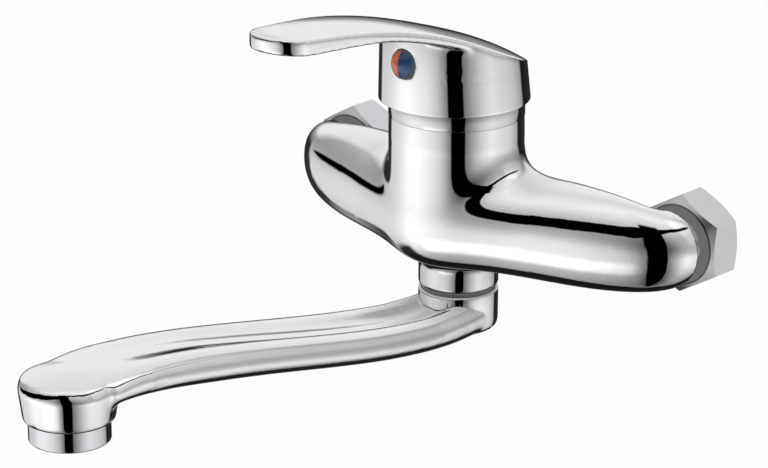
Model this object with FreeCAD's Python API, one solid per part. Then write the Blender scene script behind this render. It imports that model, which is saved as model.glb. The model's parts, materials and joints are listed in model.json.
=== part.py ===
import FreeCAD, Part
import math
import os

# Wall-mounted single-lever mixer with a swivel spout below the body.
# The model is drawn around the column's axis with the inlets' axes at z = 0, and is then
# moved so that the origin is midway between the inlets, on the plane of the nuts' rear faces.
# +X is to the right seen from the room, -Y points into the room and +Z is up. Millimetres.

V = FreeCAD.Vector

# Wall connection
inlet_spacing = 150.0
wall_to_column = 41.0
nut_across_flats = 30.0
nut_length = 13.8
nut_front_circle = 27.0
nut_rear_circle = 29.0
nut_lip = 2.4
nut_thread_bore = 24.3
nut_turn_right = 30.0
nut_turn_left = 90.0
nut_chamfer = 30.0
tail_tube = 19.0
tail_bore = 14.0
tail_screwed_in = 6.0
tail_flange = 23.8
tail_flange_thickness = 3.0
washer_thickness = 2.5
washer_hole = 15.0

# Body casting
arm_end_gap = 4.4
arm_end_diameter = 26.4
arm_sweep = 22.0
body_front = 24.0
body_back = 23.2
nose_round = 2.0
body_mid_height = 35.0
body_rise = 2.0
arm_root_height = 33.4
arm_tip_height = 31.4
arm_back_lean = 8.0
middle_squareness = 3.0
end_squareness = 2.0
arm_evening = 0.7
corner_ahead = 0.4
corner_behind = 0.8
corner_depth = 1.05
corner_rise = 0.2
corner_squareness = 2.2
casting_wall = 2.8
column_top_diameter = 46.4
column_foot_diameter = 47.6
column_height = 37.5
column_fillet = 9.0
column_foot_height = 4.0
column_foot_depth = 19.0
spigot_diameter = 43.0
spigot_height = 3.5
neck_diameter = 27.8
neck_drop = 25.1
neck_setback = 1.5
neck_fillet = 3.0
neck_bore = 16.0
partition = 2.5

# Stations of an arm, as shares of the way from the column to the inlet's axis
arm_root_at = 0.26
arm_full_to = 0.6
arm_tip_at = 0.9

# Cartridge, a standard 35 mm size
cartridge_diameter = 35.0
chamber_floor = 11.5
floor_thickness = 4.0
housing_shoulder = 22.5
housing_neck_diameter = 26.8
housing_neck_height = 8.0
housing_wall = 1.9
base_height = 6.7
base_gap = 0.3
seal_thickness = 1.6
seal_wall = 1.6
port_circle = 17.3
port_diameter = 7.2
inlet_port_angle = 30.0
peg_diameter = 3.8
peg_length = 2.5
peg_side = 11.5
peg_front = 6.0
disc_thickness = 4.0
fixed_disc_diameter = 27.0
disc_recess = 1.0
moving_disc_thickness = 3.5
moving_disc_diameter = 21.0
carrier_height = 4.5
guide_flange_thickness = 2.2
guide_shaft_diameter = 21.9
guide_step = 0.2
stem_square = 8.0
stem_height = 23.0
stem_skirt = 3.0
stem_arm = 6.5
stem_ball_diameter = 4.8
stem_neck_diameter = 3.2
pivot_height = 34.5
pin_diameter = 3.0
lift_angle = 20.0
nut_ring_height = 7.0
ring_thread_diameter = 39.0
ring_slot_width = 4.0
ring_slot_depth = 2.5

# Trim ring
collar_diameter = 46.6
collar_height = 5.1
collar_lip = 2.0
collar_edge = 0.5

# Handle
cap_diameter = 52.0
cap_taper = 0.06
cap_forward = 1.2
cap_wall = 2.0
cap_bottom = 42.9
cap_rim_depth = 2.2
cap_rim_clearance = 0.3
cap_ceiling = 2.5
roof_rear = 49.3
roof_middle = 65.7
roof_front = 74.6
roof_crown = 75.0
roof_rear_steepening = 2.2
lever_reach = 95.0
lever_arch = 54.0
lever_arch_height = 80.8
lever_dip = 80.0
lever_dip_height = 82.6
lever_tip_height = 84.3
lever_tip_crown = 300.0
lever_root = 28.0
lever_root_width = 35.8
lever_mid_width = 30.0
lever_tip_width = 24.0
lever_root_thickness = 5.5
lever_arch_thickness = 5.1
lever_dip_thickness = 5.4
lever_tip_thickness = 5.9
lever_underside_rise = 1.0
lever_end_taper = 0.09
lever_tip_fullness = 0.9
lever_shoulder = 25.0
lever_shoulder_height = 76.0
socket_wall = 3.2
socket_bottom = 47.0
screw_tilt = 15.0
index_below_roof = 14.4
index_diameter = 9.6
index_depth = 3.4
index_proud = 1.2
index_split = 0.15
index_edge = 0.1
screw_diameter = 5.0
screw_length = 10.0
screw_socket = 2.5
screw_boss_wall = 2.6

# Spout
glide_thickness = 1.2
glide_diameter = 26.0
swivel_pipe = 18.0
swivel_pipe_bore = 12.0
swivel_pipe_length = 11.5
spout_collar_diameter = 27.8
spout_collar_height = 14.2
spout_collar_round = 2.5
spout_reach = 183.2
spout_rise = 25.0
spout_ridge_drop = 3.1
spout_root_slope = 0.5
spout_mid_width = 35.6
spout_tip_width = 32.6
spout_depth = 11.7
spout_tip_depth = 10.2
spout_wall = 1.8
channel_depth = 4.2
outlet_bottom_diameter = 29.0
outlet_height = 16.1
outlet_dome = 2.0
outlet_sink = 0.3
outlet_top_round = 0.6
outlet_bottom_round = 1.2
outlet_chamber = 20.0
outlet_chamber_height = 3.4
o_ring_section = 1.76
o_ring_width_room = 0.7
o_ring_first = 2.0
o_ring_second = 8.9
keeper_screw = 4.0
keeper_screw_height = 5.6
keeper_screw_tip = 2.6
keeper_depth = 1.3
keeper_sunk = 0.4
keeper_socket = 2.0

# Stations of the spout, as shares of its reach from the swivel axis
rise_from = 0.085
rise_to = 0.985
widest_at = 0.4
channel_full_at = 0.14
channel_to = 0.94
thinner_from = 0.7
thinner_to = 0.95
channel_fading = 0.6
dome_from = 0.8
arm_from = 0.01
arm_to = 0.975
waterway_from = 0.02
spout_stations = (0.06, 0.11, 0.17, 0.25, 0.35, 0.5, 0.65, 0.78, 0.88, 0.95)

# Half outline of the spout's section from the channel's edge to the flat underside: the place
# across as a share of the half width, then the drop as a share of the channel's or the spout's depth
channel_outline = ((0.28, 0.9), (0.5, 0.25), (0.68, 0))
side_outline = ((0.86, 0.1), (1, 0.42), (0.93, 0.8), (0.7, 0.97), (0.35, 1))
outlet_outline = ((0.93, 0.02), (1, 0.2), (0.98, 0.78), (0.75, 0.97), (0.35, 1))

# Aerator, M24 male thread
aerator_diameter = 26.0
aerator_skirt = 6.8
aerator_thread = 23.8
aerator_thread_length = 5.5
aerator_bore = 21.2
aerator_lip = 1.4
aerator_lip_width = 1.0
aerator_washer_thickness = 1.6
aerator_washer_hole = 17.0
mesh_hole = 1.6
mesh_pitch = 2.5
insert_wall = 1.2
mesh_plate = 2.0

# Clearances
running = 0.05
easy = 0.1
seal_clearance = 0.02
ball_clearance = 0.12
slot_clearance = 0.2

# How far outlines that cut a piece run past it, and what counts as the same height
overrun = 5.0
tiny = 0.01

half_span = inlet_spacing / 2
nut_front = wall_to_column - nut_length
arm_end = nut_front - arm_end_gap
spigot_top = column_height + spigot_height
cap_front = cap_diameter / 2 + cap_forward
index_height = roof_front - index_below_roof

# Heights of the cartridge's pieces, each standing on the one below
base_low = chamber_floor + base_gap
base_top = base_low + base_height
fixed_low = base_top - disc_recess
fixed_top = fixed_low + disc_thickness
moving_top = fixed_top + moving_disc_thickness
carrier_top = moving_top + carrier_height
guide_low = carrier_top + guide_step
guide_step_top = guide_low + guide_flange_thickness
chamber_top = guide_step_top + guide_step
shoulder = chamber_floor + housing_shoulder
housing_top = shoulder + housing_neck_height
ball_height = pivot_height - stem_arm
port_radius = port_diameter / 2
chamber_radius = cartridge_diameter / 2 + easy
ring_thread_radius = ring_thread_diameter / 2

# Heights of the spout's pieces, each hanging below the one above
glide_low = -neck_drop - glide_thickness
collar_top = glide_low
collar_low = collar_top - spout_collar_height
pipe_radius = swivel_pipe / 2
outlet_y = neck_setback - spout_reach


def cylinder(radius, low, high, x=0.0, y=0.0):
    return Part.makeCylinder(radius, high - low, V(x, y, low))


def ring(outer, inner, low, high, x=0.0, y=0.0):
    return cylinder(outer, low, high, x, y).cut(cylinder(inner, low - 1, high + 1, x, y))


def along_y(radius, front, rear, x=0.0, z=0.0):
    return Part.makeCylinder(radius, rear - front, V(x, front, z), V(0, 1, 0))


def block(x0, x1, y0, y1, z0, z1):
    return Part.makeBox(x1 - x0, y1 - y0, z1 - z0, V(x0, y0, z0))


def turned(edges, y=0.0):
    """A solid turned about the upright line at y from the edges of its half outline."""
    face = Part.Face(Part.Wire(Part.sortEdges(edges)[0]))
    return face.revolve(V(0, y, 0), V(0, 0, 1), 360)


def run(points):
    """Straight edges through the points."""
    return [Part.LineSegment(a, b).toShape() for a, b in zip(points[:-1], points[1:])]


def smooth_wire(points):
    """A closed smooth wire through the points."""
    curve = Part.BSplineCurve()
    curve.interpolate(Points=points, PeriodicFlag=True)
    return Part.Wire([curve.toShape()])


def smooth_edge(points, start=None, end=None):
    """An open smooth edge through the points, with its end directions if they matter."""
    curve = Part.BSplineCurve()
    if start is None:
        curve.interpolate(Points=points)
    else:
        curve.interpolate(Points=points, InitialTangent=start, FinalTangent=end)
    return curve.toShape()


def rounded(shape, radius, wanted):
    """Fillets the edges whose bounding box passes the test."""
    return shape.makeFillet(radius, [edge for edge in shape.Edges if wanted(edge.BoundBox)])


def save(name, shape):
    placed = shape.copy()
    placed.translate(V(0, -wall_to_column, 0))
    if not placed.isValid() or not placed.Solids:
        raise ValueError(name + " is not a valid solid")
    placed.exportStep("parts/" + name + ".step")
    print(name, len(placed.Solids), "solid", round(placed.Volume, 1), "mm3")


# Body casting: a crescent of two arms, a column for the cartridge and a neck for the spout

def arm_front(x):
    """Front outline of the arms in plan: two straight sweeps with a round nose between."""
    sweep = math.tan(math.radians(arm_sweep)) * x
    return math.hypot(sweep, nose_round) - nose_round - body_front


def arm_stations():
    """Sections of one arm: front point, back point, height, squareness and rise."""
    end = arm_end_diameter / 2
    stations = []
    for share, height in ((0.0, body_mid_height), (arm_root_at, arm_root_height),
                          (arm_full_to, arm_root_height), (arm_tip_at, arm_tip_height)):
        x = share * half_span
        lean = share * share * arm_back_lean
        square = middle_squareness - share * (middle_squareness - end_squareness) * arm_evening
        rise = body_rise * (1 - share * share * arm_evening)
        stations.append(((x, arm_front(x)), (x - lean, body_back), height, square, rise))
    # the arm turns back to the wall here, and ends in a circle facing it
    corner_front = (half_span + end * corner_ahead, arm_end - end * corner_depth)
    corner_back = (half_span - end * corner_behind, body_back)
    corner_height = (arm_tip_height + arm_end_diameter) / 2
    stations.append((corner_front, corner_back, corner_height, corner_squareness,
                     body_rise * corner_rise))
    stations.append(((half_span + end, arm_end), (half_span - end, arm_end), arm_end_diameter,
                     end_squareness, 0))
    return stations


def arm_section(station, side, skin):
    (fx, fy), (bx, by), height, square, rise = station
    front = V(side * fx, fy, rise)
    back = V(side * bx, by, rise)
    across = back - front
    half_depth = across.Length / 2 - skin
    half_height = height / 2 - skin
    middle = (front + back) * 0.5
    across.normalize()
    points = []
    count = 32
    for k in range(count):
        angle = 2 * math.pi * k / count
        c = math.cos(angle)
        s = math.sin(angle)
        u = math.copysign(abs(c) ** (2 / square), c) * half_depth
        w = math.copysign(abs(s) ** (2 / square), s) * half_height
        points.append(middle + across * u + V(0, 0, w))
    return smooth_wire(points)


def crescent(skin):
    """Both arms in one loft, from the left end face to the right one."""
    stations = arm_stations()
    wires = [arm_section(station, -1, skin) for station in reversed(stations[1:])]
    wires += [arm_section(station, 1, skin) for station in stations]
    return Part.makeLoft(wires, True, False)


def column():
    """The upright column, closed below by half an ellipsoid that sinks into the arms."""
    foot = column_foot_diameter / 2
    low = V(0, 0, column_foot_height - column_foot_depth)
    side = V(foot, 0, column_foot_height)
    belly = [V(foot * math.cos(a), 0, column_foot_height - column_foot_depth * math.sin(a))
             for a in [math.pi / 2 * k / 8 for k in range(9)]]
    walls = run([side, V(column_top_diameter / 2, 0, column_height),
                 V(spigot_diameter / 2, 0, column_height), V(spigot_diameter / 2, 0, spigot_top),
                 V(0, 0, spigot_top), low])
    return turned(walls + [smooth_edge(belly, V(0, 0, -1), V(-1, 0, 0))])


def port_places():
    """Centres of the chamber floor's ports: two inlets at the rear, the outlet in front."""
    radius = port_circle / 2
    angle = math.radians(inlet_port_angle)
    inlets = [(side * radius * math.cos(angle), radius * math.sin(angle)) for side in (1, -1)]
    return inlets + [(0, -radius)]


def peg_places():
    return [(side * peg_side, -peg_front) for side in (-1, 1)]


def make_body():
    outside = crescent(0).fuse(column()).removeSplitter()
    outside = rounded(outside, column_fillet,
                      lambda box: box.ZLength > 3 and 2 < box.ZMax < column_height - 5
                      and box.XMax < half_span / 2 and box.XMin > -half_span / 2)
    outside = outside.fuse(cylinder(neck_diameter / 2, -neck_drop, 0, 0, neck_setback))
    outside = rounded(outside.removeSplitter(), neck_fillet,
                      lambda box: box.ZLength > 0.5 and 1 - neck_drop < box.ZMin
                      and box.ZMax < 0 and box.XLength <= neck_diameter + 1)
    pipe_low = -neck_drop - swivel_pipe_length
    outside = outside.fuse(cylinder(pipe_radius, pipe_low, 0, 0, neck_setback))

    # waterways of the arms, closed off from the chamber and from the outlet between them
    floor_low = chamber_floor - floor_thickness
    waterway = crescent(casting_wall)
    waterway = waterway.cut(cylinder(chamber_radius + casting_wall, floor_low, spigot_top))
    middle = neck_bore / 2 + partition
    waterway = waterway.cut(block(-middle, middle, -half_span, half_span, -half_span, half_span))
    keep = block(-half_span - arm_end_diameter, half_span + arm_end_diameter,
                 -half_span, arm_end - tail_screwed_in, -half_span, half_span)
    hollow = waterway.common(keep)

    # cartridge chamber with the ring nut's thread above it
    hollow = hollow.fuse([cylinder(chamber_radius, chamber_floor, spigot_top + 1),
                          cylinder(ring_thread_radius, shoulder, spigot_top + 1)])
    for x, y in peg_places():
        hollow = hollow.fuse(cylinder(peg_diameter / 2 + easy, chamber_floor - peg_length - easy,
                                      chamber_floor + 1, x, y))

    # ports through the floor, and the outlet down through the neck and the swivel pipe
    inlets = port_places()[:2]
    outlet = port_places()[2]
    for x, y in inlets:
        toward_arm = math.copysign(middle + port_radius, x)
        hollow = hollow.fuse([cylinder(port_radius, floor_low - partition, chamber_floor + 1, x, y),
                              block(min(x, toward_arm), max(x, toward_arm), y - port_radius,
                                    y + port_radius, floor_low - partition, floor_low)])
    hollow = hollow.fuse([cylinder(port_radius, -partition, chamber_floor + 1, *outlet),
                          cylinder(neck_bore / 2, -neck_drop, partition, 0, neck_setback),
                          cylinder(swivel_pipe_bore / 2, pipe_low - 1, 0, 0, neck_setback)])
    for side in (-1, 1):
        hollow = hollow.fuse(along_y(tail_tube / 2 + running, arm_end - tail_screwed_in - 1,
                                     arm_end + 1, side * half_span))
    body = outside.cut(hollow)
    for groove in o_ring_grooves():
        body = body.cut(groove)
    return body.cut(keeper_groove())


# Swivel joint between the neck and the spout

def o_ring_heights():
    return [collar_top - drop - (o_ring_section + o_ring_width_room) / 2
            for drop in (o_ring_first, o_ring_second)]


def o_ring_floor():
    """Radius of the groove's floor, so that the ring just fills it."""
    return pipe_radius + running - seal_clearance - o_ring_section


def o_ring_grooves():
    half = (o_ring_section + o_ring_width_room) / 2
    floor = o_ring_floor() - seal_clearance
    return [ring(pipe_radius + 1, floor, z - half, z + half, 0, neck_setback)
            for z in o_ring_heights()]


def keeper_groove():
    z = collar_top - keeper_screw_height
    half = keeper_screw_tip / 2 + easy
    return ring(pipe_radius + 1, pipe_radius - keeper_depth, z - half, z + half, 0, neck_setback)


def make_o_rings():
    radius = o_ring_floor() + o_ring_section / 2
    rings = [Part.makeTorus(radius, o_ring_section / 2, V(0, neck_setback, z), V(0, 0, 1))
             for z in o_ring_heights()]
    return Part.makeCompound(rings)


def make_glide_ring():
    return ring(glide_diameter / 2, pipe_radius + easy, glide_low + running, -neck_drop,
                0, neck_setback)


def make_keeper():
    """Grub screw in the rear of the spout's collar, whose dog point runs in the pipe's groove."""
    z = collar_top - keeper_screw_height
    tip = neck_setback + pipe_radius - keeper_depth + easy
    seat = neck_setback + pipe_radius + running + easy
    outer = neck_setback + spout_collar_diameter / 2 - keeper_sunk
    screw = along_y(keeper_screw / 2, seat, outer, 0, z)
    screw = screw.fuse(along_y(keeper_screw_tip / 2 - easy, tip, seat, 0, z))
    return screw.cut(hexagon_y(keeper_socket, outer - keeper_socket, outer + 1, 0, z))


def hexagon_y(across_flats, front, rear, x, z, turn=0.0):
    radius = across_flats / math.sqrt(3)
    corners = []
    for k in range(7):
        angle = math.radians(turn + 60 * k)
        corners.append(V(x + radius * math.cos(angle), front, z + radius * math.sin(angle)))
    return Part.Face(Part.makePolygon(corners)).extrude(V(0, rear - front, 0))


# Spout: a flat hollow casting with a channel along its top, from the collar to the outlet

def stage(share, start, end):
    """How far the share has come from the start to the end, from 0 to 1."""
    return min(max((share - start) / (end - start), 0), 1)


def eased(t):
    return t * t * (3 - 2 * t)


def spout_sizes(share):
    """Ridge height, depth, half width, channel depth and crown at a share of the reach."""
    t = stage(share, rise_from, rise_to)
    ease = eased(t) + spout_root_slope * t * (1 - t) ** 2
    ridge = collar_top - spout_ridge_drop + spout_rise * ease
    thinner = eased(stage(share, thinner_from, thinner_to))
    depth = spout_depth - (spout_depth - spout_tip_depth) * thinner
    root = spout_collar_diameter / 2
    middle = spout_mid_width / 2
    if share < widest_at:
        half = root + (middle - root) * math.sin(math.pi / 2 * share / widest_at)
    else:
        half = middle + (spout_tip_width / 2 - middle) * stage(share, widest_at, 1) ** 2
    fading = max(1 - share / channel_to, 0) ** channel_fading
    dish = channel_depth * stage(share, 0, channel_full_at) * fading
    crown = outlet_dome * eased(stage(share, dome_from, 1))
    return ridge, depth, half, dish, crown


def spout_section(share, skin):
    """Flat-bottomed section with two ridges and a channel between them."""
    ridge, depth, half, dish, crown = spout_sizes(share)
    y = neck_setback - share * spout_reach
    top = ridge - skin - outlet_sink * crown / outlet_dome
    deep = depth - 2 * skin
    wide = half - skin
    right = [(across, drop * dish + crown * across ** 2) for across, drop in channel_outline]
    turning = eased(stage(share, dome_from, 1))
    for (across, drop), (across_at_outlet, drop_at_outlet) in zip(side_outline, outlet_outline):
        across += (across_at_outlet - across) * turning
        drop += (drop_at_outlet - drop) * turning
        right.append((across, drop * deep))
    shoulder_across, shoulder_drop = right[len(channel_outline)]
    right[len(channel_outline)] = (shoulder_across, shoulder_drop + crown * shoulder_across ** 2)
    side_across, side_drop = right[len(channel_outline) + 1]
    right[len(channel_outline) + 1] = (side_across, side_drop + crown * turning)
    left = [(-across, drop) for across, drop in reversed(right)]
    outline = [(0, dish)] + right + [(0, deep)] + left
    return smooth_wire([V(across * wide, y, top - drop) for across, drop in outline])


def spout_arm(skin, first, last):
    shares = [share for share in spout_stations if first < share < last]
    return Part.makeLoft([spout_section(share, skin) for share in [first] + shares + [last]],
                         True, False)


def outlet_cup():
    """The outlet's tapered wall under its shallow dome."""
    ridge, depth, half, dish, crown = spout_sizes(1)
    rim = ridge - outlet_dome
    low = ridge - outlet_height
    ball = (half ** 2 + outlet_dome ** 2) / (2 * outlet_dome)
    midway = V(half / 2, outlet_y, ridge - ball + math.sqrt(ball ** 2 - half ** 2 / 4))
    edges = run([V(0, outlet_y, ridge), V(0, outlet_y, low),
                 V(outlet_bottom_diameter / 2, outlet_y, low), V(half, outlet_y, rim)])
    edges.append(Part.Arc(V(half, outlet_y, rim), midway, V(0, outlet_y, ridge)).toShape())
    cup = rounded(turned(edges, outlet_y), outlet_top_round,
                  lambda box: abs(box.ZMax - rim) < tiny and box.ZLength < tiny)
    return rounded(cup, outlet_bottom_round, lambda box: box.ZMax < low + tiny)


def make_spout():
    outlet_low = spout_sizes(1)[0] - outlet_height
    collar = cylinder(spout_collar_diameter / 2, collar_low, collar_top, 0, neck_setback)
    collar = rounded(collar, spout_collar_round, lambda box: box.ZMax < collar_low + 1)
    outside = collar.fuse([spout_arm(0, arm_from, arm_to), outlet_cup()])

    bore = cylinder(pipe_radius + running, collar_low + spout_wall + 1, collar_top + 1,
                    0, neck_setback)
    waterway = spout_arm(spout_wall, waterway_from, 1)
    seat_top = outlet_low + aerator_thread_length + aerator_washer_thickness
    thread = cylinder(aerator_thread / 2 + easy, outlet_low - 1, seat_top, 0, outlet_y)
    chamber = cylinder(outlet_chamber / 2, outlet_low, seat_top + outlet_chamber_height,
                       0, outlet_y)
    z = collar_top - keeper_screw_height
    keeper_hole = along_y(keeper_screw / 2 + running, neck_setback, half_span, 0, z)
    return outside.cut(bore.fuse([waterway, thread, chamber, keeper_hole]))


# Aerator

def aerator_levels():
    ridge = spout_sizes(1)[0]
    outlet_low = ridge - outlet_height
    return outlet_low, outlet_low - aerator_skirt


def make_aerator_shell():
    seat, low = aerator_levels()
    skirt = cylinder(aerator_diameter / 2, low, seat - running, 0, outlet_y)
    skirt = rounded(skirt, aerator_lip / 2, lambda box: box.ZMax < low + 1)
    shell = skirt.fuse(cylinder(aerator_thread / 2, seat - 1, seat + aerator_thread_length,
                                0, outlet_y))
    bore = cylinder(aerator_bore / 2, low + aerator_lip, seat + aerator_thread_length + 1,
                    0, outlet_y)
    mouth = cylinder(aerator_bore / 2 - aerator_lip_width, low - 1, low + aerator_lip + 1,
                     0, outlet_y)
    return shell.cut(bore.fuse(mouth))


def make_aerator_insert():
    """Flow insert with a grid of holes, standing on the shell's lip."""
    seat, low = aerator_levels()
    outer = aerator_bore / 2 - easy
    floor = low + aerator_lip
    insert = ring(outer, outer - insert_wall, floor, seat + aerator_thread_length, 0, outlet_y)
    plate = cylinder(outer, floor, floor + mesh_plate, 0, outlet_y)
    reach = int(outer / mesh_pitch)
    holes = []
    for i in range(-reach, reach + 1):
        for j in range(-reach, reach + 1):
            x = i * mesh_pitch
            y = j * mesh_pitch
            if math.hypot(x, y) < outer - insert_wall - mesh_hole:
                holes.append(block(x - mesh_hole / 2, x + mesh_hole / 2,
                                   outlet_y + y - mesh_hole / 2, outlet_y + y + mesh_hole / 2,
                                   floor - 1, floor + mesh_plate + 1))
    return insert.fuse(plate).cut(Part.makeCompound(holes))


def make_aerator_washer():
    low = aerator_levels()[0] + aerator_thread_length
    return ring(aerator_thread / 2 - easy, aerator_washer_hole / 2, low,
                low + aerator_washer_thickness, 0, outlet_y)


# Wall connection

def make_union_nut(side, turn):
    x = side * half_span
    hexagon = hexagon_y(nut_across_flats, nut_front, wall_to_column, x, 0, turn)
    corner = nut_across_flats / math.sqrt(3)
    slope = math.tan(math.radians(nut_chamfer))
    front_run = (corner - nut_front_circle / 2) * slope
    rear_run = (corner - nut_rear_circle / 2) * slope
    outline = run([V(0, nut_front, 0), V(nut_front_circle / 2, nut_front, 0),
                   V(corner, nut_front + front_run, 0),
                   V(corner, wall_to_column - rear_run, 0),
                   V(nut_rear_circle / 2, wall_to_column, 0), V(0, wall_to_column, 0),
                   V(0, nut_front, 0)])
    blank = Part.Face(Part.Wire(outline)).revolve(V(0, 0, 0), V(0, 1, 0), 360)
    blank.translate(V(x, 0, 0))
    relief_rear = nut_front + nut_lip + tail_flange_thickness + washer_thickness
    hollow = along_y(tail_tube / 2 + easy, nut_front - 1, wall_to_column, x)
    hollow = hollow.fuse([along_y(nut_thread_bore / 2 + 2 * easy, nut_front + nut_lip,
                                  relief_rear, x),
                          along_y(nut_thread_bore / 2, relief_rear, wall_to_column + 1, x)])
    return hexagon.common(blank).cut(hollow)


def make_tail(side):
    """Flanged tail: its tube screws into the arm and its flange is drawn up by the nut."""
    x = side * half_span
    flange_front = nut_front + nut_lip + easy
    flange_rear = nut_front + nut_lip + tail_flange_thickness
    tube = along_y(tail_tube / 2, arm_end - tail_screwed_in, flange_rear, x)
    tail = tube.fuse(along_y(tail_flange / 2, flange_front, flange_rear, x))
    return tail.cut(along_y(tail_bore / 2, arm_end - tail_screwed_in - 1, flange_rear + 1, x))


def make_washer(side):
    x = side * half_span
    front = nut_front + nut_lip + tail_flange_thickness
    washer = along_y(tail_flange / 2, front, front + washer_thickness, x)
    return washer.cut(along_y(washer_hole / 2, front - 1, front + washer_thickness + 1, x))


# Cartridge

def make_base():
    base = cylinder(cartridge_diameter / 2, base_low, base_top)
    for x, y in peg_places():
        base = base.fuse(cylinder(peg_diameter / 2, chamber_floor - peg_length, base_low + 1, x, y))
    base = base.cut(cylinder(fixed_disc_diameter / 2 + easy, fixed_low, base_top + 1))
    for x, y in port_places():
        base = base.cut(cylinder(port_radius, base_low - 1, base_top + 1, x, y))
        pocket_top = chamber_floor + seal_thickness
        base = base.cut(cylinder(port_radius + seal_wall + easy, base_low - 1, pocket_top, x, y))
    return base


def make_base_seals():
    seals = [ring(port_radius + seal_wall, port_radius + seal_clearance, chamber_floor,
                  chamber_floor + seal_thickness, x, y) for x, y in port_places()]
    return Part.makeCompound(seals)


def make_fixed_disc():
    disc = cylinder(fixed_disc_diameter / 2, fixed_low, fixed_top)
    for x, y in port_places():
        disc = disc.cut(cylinder(port_radius - running, fixed_low - 1, fixed_top + 1, x, y))
    return disc


def make_moving_disc():
    """Upper ceramic disc with the mixing pocket that joins the ports when it slides."""
    disc = cylinder(moving_disc_diameter / 2, fixed_top, moving_top)
    pocket = cylinder(moving_disc_diameter / 4, fixed_top - 1, fixed_top + moving_disc_thickness / 2)
    return disc.cut(pocket)


def make_disc_carrier():
    carrier = cylinder(moving_disc_diameter / 2, moving_top, carrier_top)
    pocket_low = ball_height - stem_ball_diameter / 2 - 2 * ball_clearance
    return carrier.cut(cylinder(stem_ball_diameter / 2 + ball_clearance, pocket_low,
                                carrier_top + 1))


def make_housing():
    outer = cylinder(cartridge_diameter / 2, base_top, shoulder)
    outer = outer.fuse(cylinder(housing_neck_diameter / 2, shoulder - 1, housing_top))
    inner = cylinder(cartridge_diameter / 2 - housing_wall, base_top - 1, chamber_top)
    inner = inner.fuse(cylinder(guide_shaft_diameter / 2 + easy, base_top, housing_top + 1))
    return outer.cut(inner)


def stem_slot(half_width, front, rear):
    return block(-half_width, half_width, front, rear, guide_low - 1, housing_top + 1)


def make_stem_guide():
    flange = cylinder(cartridge_diameter / 2 - housing_wall - easy, guide_low, guide_step_top)
    guide = flange.fuse(cylinder(guide_shaft_diameter / 2, guide_low, housing_top - guide_step))
    lift = math.radians(lift_angle)
    half = stem_square / 2
    above = housing_top - pivot_height
    front = half * math.cos(lift) + stem_skirt * math.sin(lift) + slot_clearance * 2
    rear = half + above * math.tan(lift) + slot_clearance
    guide = guide.cut(stem_slot(half + slot_clearance, -front, rear))
    return guide.cut(pin_along_x(pin_diameter / 2 + running, guide_shaft_diameter + 2))


def pin_along_x(radius, length):
    return Part.makeCylinder(radius, length, V(-length / 2, 0, pivot_height), V(1, 0, 0))


def make_stem_pin():
    return pin_along_x(pin_diameter / 2, guide_shaft_diameter - 4 * easy)


def make_stem():
    half = stem_square / 2
    stem = block(-half, half, -half, half, pivot_height - stem_skirt, pivot_height + stem_height)
    stem = stem.fuse([cylinder(stem_neck_diameter / 2, ball_height, pivot_height),
                      Part.makeSphere(stem_ball_diameter / 2, V(0, 0, ball_height))])
    return stem.cut(pin_along_x(pin_diameter / 2 + running, stem_square + 2))


def make_ring_nut():
    """Ring nut that presses the housing's shoulder down, with four slots for its key."""
    top = shoulder + nut_ring_height
    nut = ring(ring_thread_radius - running, housing_neck_diameter / 2 + easy, shoulder, top)
    reach = ring_thread_radius + 1
    half = ring_slot_width / 2
    nut = nut.cut([block(-reach, reach, -half, half, top - ring_slot_depth, top + 1),
                   block(-half, half, -reach, reach, top - ring_slot_depth, top + 1)])
    return nut


def make_collar_ring():
    """Trim ring over the column's spigot, with an inner lip above it."""
    top = column_height + collar_height
    outer = cylinder(collar_diameter / 2, column_height, top)
    outer = outer.makeChamfer(collar_edge, [edge for edge in outer.Edges
                                            if edge.BoundBox.ZMin > top - 0.1])
    inner = cylinder(spigot_diameter / 2 + running, column_height - 1, spigot_top)
    lip = cylinder(spigot_diameter / 2 - collar_lip, column_height, top + 1)
    return outer.cut(inner.fuse(lip))


# Handle: a round cap whose sloping roof runs on as the lever

def cap_radius(height):
    return cap_diameter / 2 - cap_taper * (height - cap_bottom)


def cap_middle(height):
    """The cap leans forward as it narrows, so that its front stays upright."""
    return -cap_forward - cap_taper * (height - cap_bottom)


def cap_cone(skin, high):
    """The cap's round wall as a leaning cone, made smaller by the skin."""
    wires = []
    for z in (cap_bottom, high):
        circle = Part.Circle(V(0, cap_middle(z), z), V(0, 0, 1), cap_radius(z) - skin)
        wires.append(Part.Wire([circle.toShape()]))
    return Part.makeLoft(wires, True, True)


def roof_stations():
    """Side view of the roof's ridge: place, height and radius of the crown across it."""
    rear = cap_diameter / 2
    rear_drop = (roof_middle - roof_rear) / rear * overrun * roof_rear_steepening
    tip_rise = (lever_tip_height - lever_dip_height) / (lever_reach - lever_dip) * overrun
    return [(rear + overrun, roof_rear - rear_drop, roof_crown), (rear, roof_rear, roof_crown),
            (0, roof_middle, roof_crown), (-rear, roof_front, roof_crown),
            (-lever_arch, lever_arch_height, roof_crown),
            (-lever_dip, lever_dip_height, lever_tip_crown),
            (-lever_reach - overrun, lever_tip_height + tip_rise, lever_tip_crown)]


def below_roof(drop):
    """Everything below the crowned roof, lowered by the drop."""
    half = cap_diameter / 2 + 2
    wires = []
    for y, z, crown in roof_stations():
        top = z - drop
        side = top - crown + math.sqrt(crown ** 2 - half ** 2)
        left = V(-half, y, side)
        right = V(half, y, side)
        arch = Part.Arc(left, V(0, y, top), right).toShape()
        walls = run([right, V(half, y, 0), V(-half, y, 0), left])
        wires.append(Part.Wire([arch] + walls))
    return Part.makeLoft(wires, True, False)


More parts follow.
